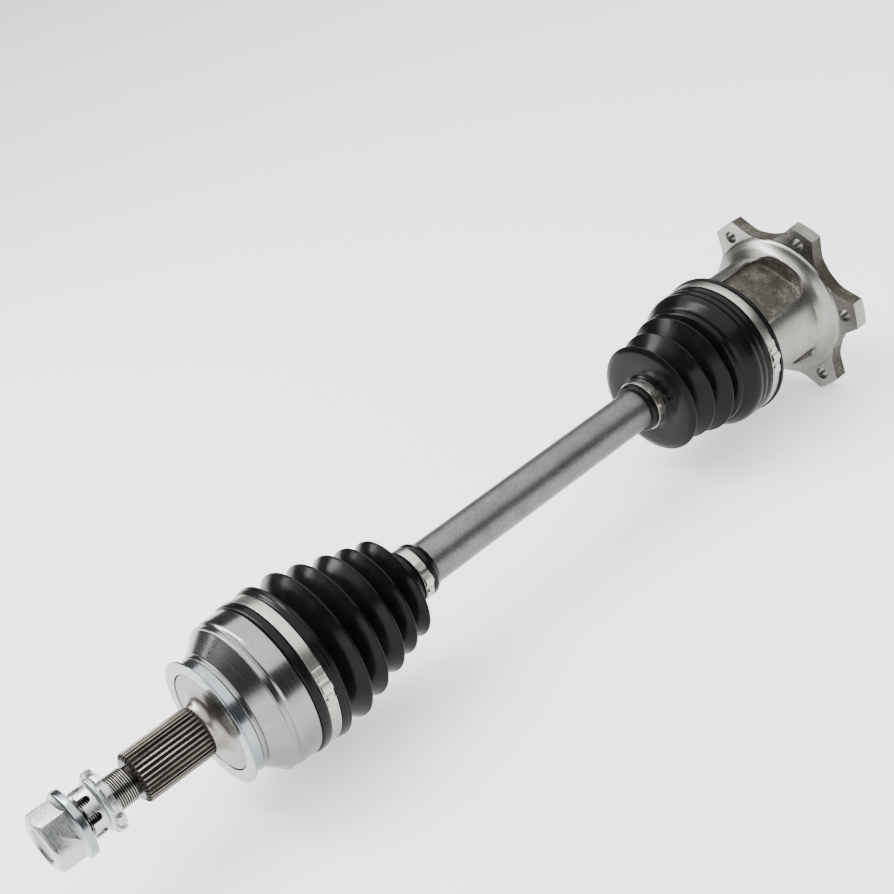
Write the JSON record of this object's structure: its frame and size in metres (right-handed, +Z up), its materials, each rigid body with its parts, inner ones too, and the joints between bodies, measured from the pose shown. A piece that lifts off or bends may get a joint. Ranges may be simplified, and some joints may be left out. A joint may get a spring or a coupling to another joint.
{
  "type": "cv axle",
  "caption": "Drive axle with a ball-type outer joint, splined and threaded stub with hub nut, bar shaft, and a flanged tripod inner joint, under rubber bellows boots.",
  "frame": {"origin": "centre of the inner flange's mounting face", "axes": "+X along the axle, out of the flange's mounting face; the hub nut is at -X; +Z up, through the gap between two lobes of the flange, as the axle rests with two lobes lowest"},
  "size_m": [0.72, 0.155, 0.144],
  "materials": {
    "forged_steel": "satin machined lobes, as-forged pockets",
    "turned_steel": "bright turned",
    "bearing_steel": "ground",
    "spring_steel": "blued",
    "bar_finish": "satin grey coat",
    "zinc_plate": "zinc plated",
    "clamp_steel": "stainless band",
    "bushing_plastic": "matt",
    "boot_rubber": "satin"
  },
  "bodies": {
    "tulip": {"flanged_tulip": "forged_steel", "trilobe_bushing": "bushing_plastic", "inner_boot_large_clamp": "clamp_steel"},
    "boot_middle": {"inner_boot": "boot_rubber"},
    "shaft": {"axle_bar": "bar_finish", "inner_race": "bearing_steel", "race_circlip": "spring_steel", "spider_circlip": "spring_steel", "tripod_spider": "bearing_steel", "trunnion_needles": "bearing_steel", "roller_keepers": "bearing_steel", "outer_boot_small_clamp": "clamp_steel", "inner_boot_small_clamp": "clamp_steel"},
    "housing": {"outer_housing": "turned_steel", "slinger_ring": "zinc_plate", "outer_boot": "boot_rubber", "outer_boot_large_clamp": "clamp_steel"},
    "cage": {"ball_cage": "spring_steel", "drive_ball_1": "bearing_steel", "drive_ball_2": "bearing_steel", "drive_ball_3": "bearing_steel", "drive_ball_4": "bearing_steel", "drive_ball_5": "bearing_steel", "drive_ball_6": "bearing_steel"},
    "retainer": {"nut_retainer": "zinc_plate"},
    "nut": {"hub_nut": "zinc_plate"},
    "roller_1": {"tripod_roller_1": "bearing_steel"},
    "roller_2": {"tripod_roller_2": "bearing_steel"},
    "roller_3": {"tripod_roller_3": "bearing_steel"}
  },
  "joints": [
    {"name": "inner_plunge", "type": "slide", "parent": "tulip", "child": "boot_middle", "axis": [1, 0, 0], "range_m": [-0.015, 0.015], "deforming": ["inner_boot"]},
    {"name": "inner_tilt", "type": "hinge", "parent": "boot_middle", "child": "shaft", "pos_m": [-0.057, 0, 0], "axis": [0, 0, 1], "range_deg": [-18, 18], "deforming": ["inner_boot"]},
    {"name": "outer_tilt", "type": "hinge", "parent": "shaft", "child": "housing", "pos_m": [-0.548, 0, 0], "axis": [0, 0, 1], "range_deg": [-45, 45], "deforming": ["outer_boot"]},
    {"name": "cage_tilt", "type": "hinge", "parent": "shaft", "child": "cage", "pos_m": [-0.548, 0, 0], "axis": [0, 0, 1], "range_deg": [-22.5, 22.5]},
    {"name": "retainer_travel", "type": "slide", "parent": "housing", "child": "retainer", "axis": [1, 0, 0], "range_m": [0, 0.016]},
    {"name": "nut_turn", "type": "hinge", "parent": "retainer", "child": "nut", "pos_m": [-0.7, 0, 0], "axis": [1, 0, 0], "range_deg": [0, 3840]},
    {"name": "roller_1_spin", "type": "hinge", "parent": "shaft", "child": "roller_1", "pos_m": [-0.057, 0.01425, 0.02468], "axis": [0, 0.5, 0.866], "range_deg": [-54, 54]},
    {"name": "roller_2_spin", "type": "hinge", "parent": "shaft", "child": "roller_2", "pos_m": [-0.057, 0.01425, -0.02468], "axis": [0, 0.5, -0.866], "range_deg": [-54, 54]},
    {"name": "roller_3_spin", "type": "hinge", "parent": "shaft", "child": "roller_3", "pos_m": [-0.057, -0.0285, 0], "axis": [0, -1, 0], "range_deg": [-54, 54]}
  ],
  "couplings": [
    {"joint": "cage_tilt", "follows": "outer_tilt", "ratio": 0.5},
    {"joint": "retainer_travel", "follows": "nut_turn", "m_per_rad": 0.00023873},
    {"joint": "roller_1_spin", "follows": "inner_plunge", "rad_per_m": 62.5},
    {"joint": "roller_2_spin", "follows": "inner_plunge", "rad_per_m": 62.5},
    {"joint": "roller_3_spin", "follows": "inner_plunge", "rad_per_m": 62.5}
  ]
}
